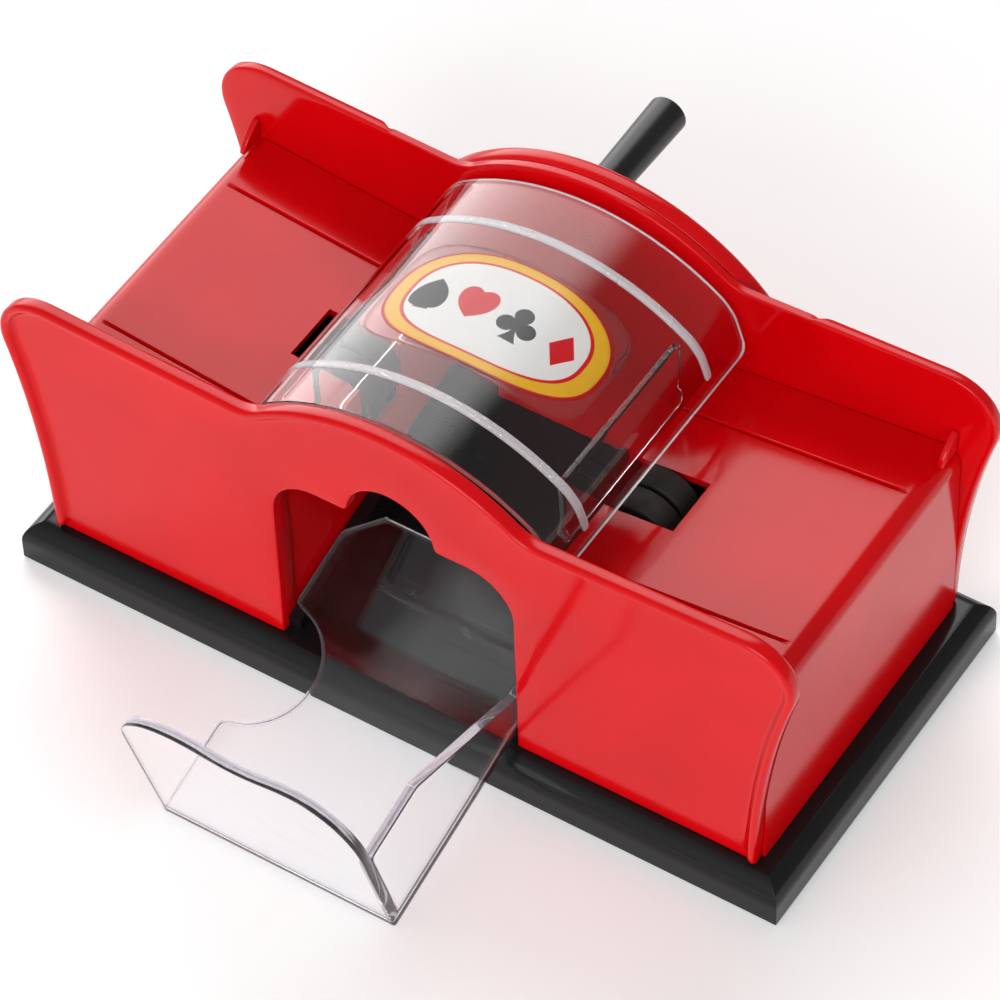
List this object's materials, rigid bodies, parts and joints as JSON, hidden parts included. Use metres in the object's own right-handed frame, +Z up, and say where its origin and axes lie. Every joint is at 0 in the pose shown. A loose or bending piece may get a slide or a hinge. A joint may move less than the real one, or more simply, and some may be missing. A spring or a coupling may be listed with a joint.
{
  "type": "card shuffler",
  "caption": "Hand-cranked card shuffler: two card trays over rubber rollers, a clear arched cover, a clear pull-out tray and a geared crank at the back.",
  "frame": {"origin": "middle of the base's underside, on the surface the object stands on", "axes": "+Z up, +X to the right along the base, the receiving tray comes out towards -Y and the crank stands out at +Y"},
  "size_m": [0.222, 0.2092, 0.1056],
  "materials": {
    "red_shell": "glossy injection moulding",
    "black_base": "glossy",
    "black_underside": "fine texture",
    "pad_rubber": "matte",
    "roller_rubber": "matte, ground",
    "black_satin": "satin",
    "steel": "turned",
    "gear_nylon": "natural nylon",
    "clear_cover": "clear moulded plastic, gloss",
    "clear_tray": "clear acrylic sheet, polished edges",
    "cover_print": "printed film"
  },
  "bodies": {
    "frame": {"base": "black_base", "base_bottom_cover": "black_underside", "pad_front_left": "pad_rubber", "pad_front_right": "pad_rubber", "pad_back_left": "pad_rubber", "pad_back_right": "pad_rubber", "front_wall": "red_shell", "back_wall": "red_shell", "left_card_tray": "red_shell", "right_card_tray": "red_shell", "left_end_panel": "red_shell", "right_end_panel": "red_shell", "left_chute_wall": "red_shell", "right_chute_wall": "red_shell", "left_tray_rail": "black_base", "right_tray_rail": "black_base", "left_idler_pin": "steel", "right_idler_pin_inner": "steel", "right_idler_pin_outer": "steel", "left_shaft_bush": "gear_nylon", "right_shaft_bush": "gear_nylon", "crank_bush": "gear_nylon", "left_front_bearing": "red_shell", "right_front_bearing": "red_shell", "gear_housing": "red_shell", "housing_screw_upper_left": "steel", "housing_screw_upper_right": "steel", "housing_screw_lower_left": "steel", "housing_screw_lower_right": "steel"},
    "crank": {"crank_shaft": "steel", "drive_gear": "gear_nylon", "crank_arm": "black_satin", "crank_screw": "steel", "knob_pin": "steel"},
    "knob": {"crank_knob": "black_satin"},
    "left_idler": {"left_idler_gear": "gear_nylon"},
    "right_idler_inner": {"right_idler_gear_inner": "gear_nylon"},
    "right_idler_outer": {"right_idler_gear_outer": "gear_nylon"},
    "left_roller": {"left_roller_shaft": "steel", "left_roller_hub": "black_satin", "left_tyre_front": "roller_rubber", "left_tyre_back": "roller_rubber", "left_pinion": "gear_nylon"},
    "right_roller": {"right_roller_shaft": "steel", "right_roller_hub": "black_satin", "right_tyre_front": "roller_rubber", "right_tyre_back": "roller_rubber", "right_pinion": "gear_nylon"},
    "cover": {"top_cover": "clear_cover", "cover_label": "cover_print"},
    "receiving_tray": {"receiving_tray": "clear_tray"}
  },
  "joints": [
    {"name": "crank_turn", "type": "hinge", "parent": "frame", "child": "crank", "pos_m": [0, 0.0495, 0.048], "axis": [0, 1, 0], "continuous": true},
    {"name": "knob_spin", "type": "hinge", "parent": "crank", "child": "knob", "pos_m": [-0.0082, 0.075, 0.0864], "axis": [0, 1, 0], "continuous": true},
    {"name": "left_idler_turn", "type": "hinge", "parent": "frame", "child": "left_idler", "pos_m": [-0.02553, 0.0495, 0.05302], "axis": [0, 1, 0], "continuous": true},
    {"name": "right_idler_inner_turn", "type": "hinge", "parent": "frame", "child": "right_idler_inner", "pos_m": [0.02284, 0.0495, 0.03783], "axis": [0, 1, 0], "continuous": true},
    {"name": "right_idler_outer_turn", "type": "hinge", "parent": "frame", "child": "right_idler_outer", "pos_m": [0.0365, 0.0495, 0.04087], "axis": [0, 1, 0], "continuous": true},
    {"name": "left_roller_turn", "type": "hinge", "parent": "frame", "child": "left_roller", "pos_m": [-0.0432, 0, 0.0565], "axis": [0, 1, 0], "continuous": true},
    {"name": "right_roller_turn", "type": "hinge", "parent": "frame", "child": "right_roller", "pos_m": [0.0432, 0, 0.0565], "axis": [0, 1, 0], "continuous": true},
    {"name": "cover_lift", "type": "slide", "parent": "frame", "child": "cover", "axis": [0, 0, 1], "range_m": [0, 0.05]},
    {"name": "receiving_tray_slide", "type": "slide", "parent": "frame", "child": "receiving_tray", "axis": [0, 0.9613, 0.2756], "range_m": [0, 0.055]}
  ],
  "couplings": [
    {"joint": "left_idler_turn", "follows": "crank_turn", "ratio": -2.25},
    {"joint": "right_idler_inner_turn", "follows": "crank_turn", "ratio": -2.5714},
    {"joint": "right_idler_outer_turn", "follows": "crank_turn", "ratio": 2.5714},
    {"joint": "left_roller_turn", "follows": "crank_turn", "ratio": 1.8},
    {"joint": "right_roller_turn", "follows": "crank_turn", "ratio": -1.8}
  ]
}
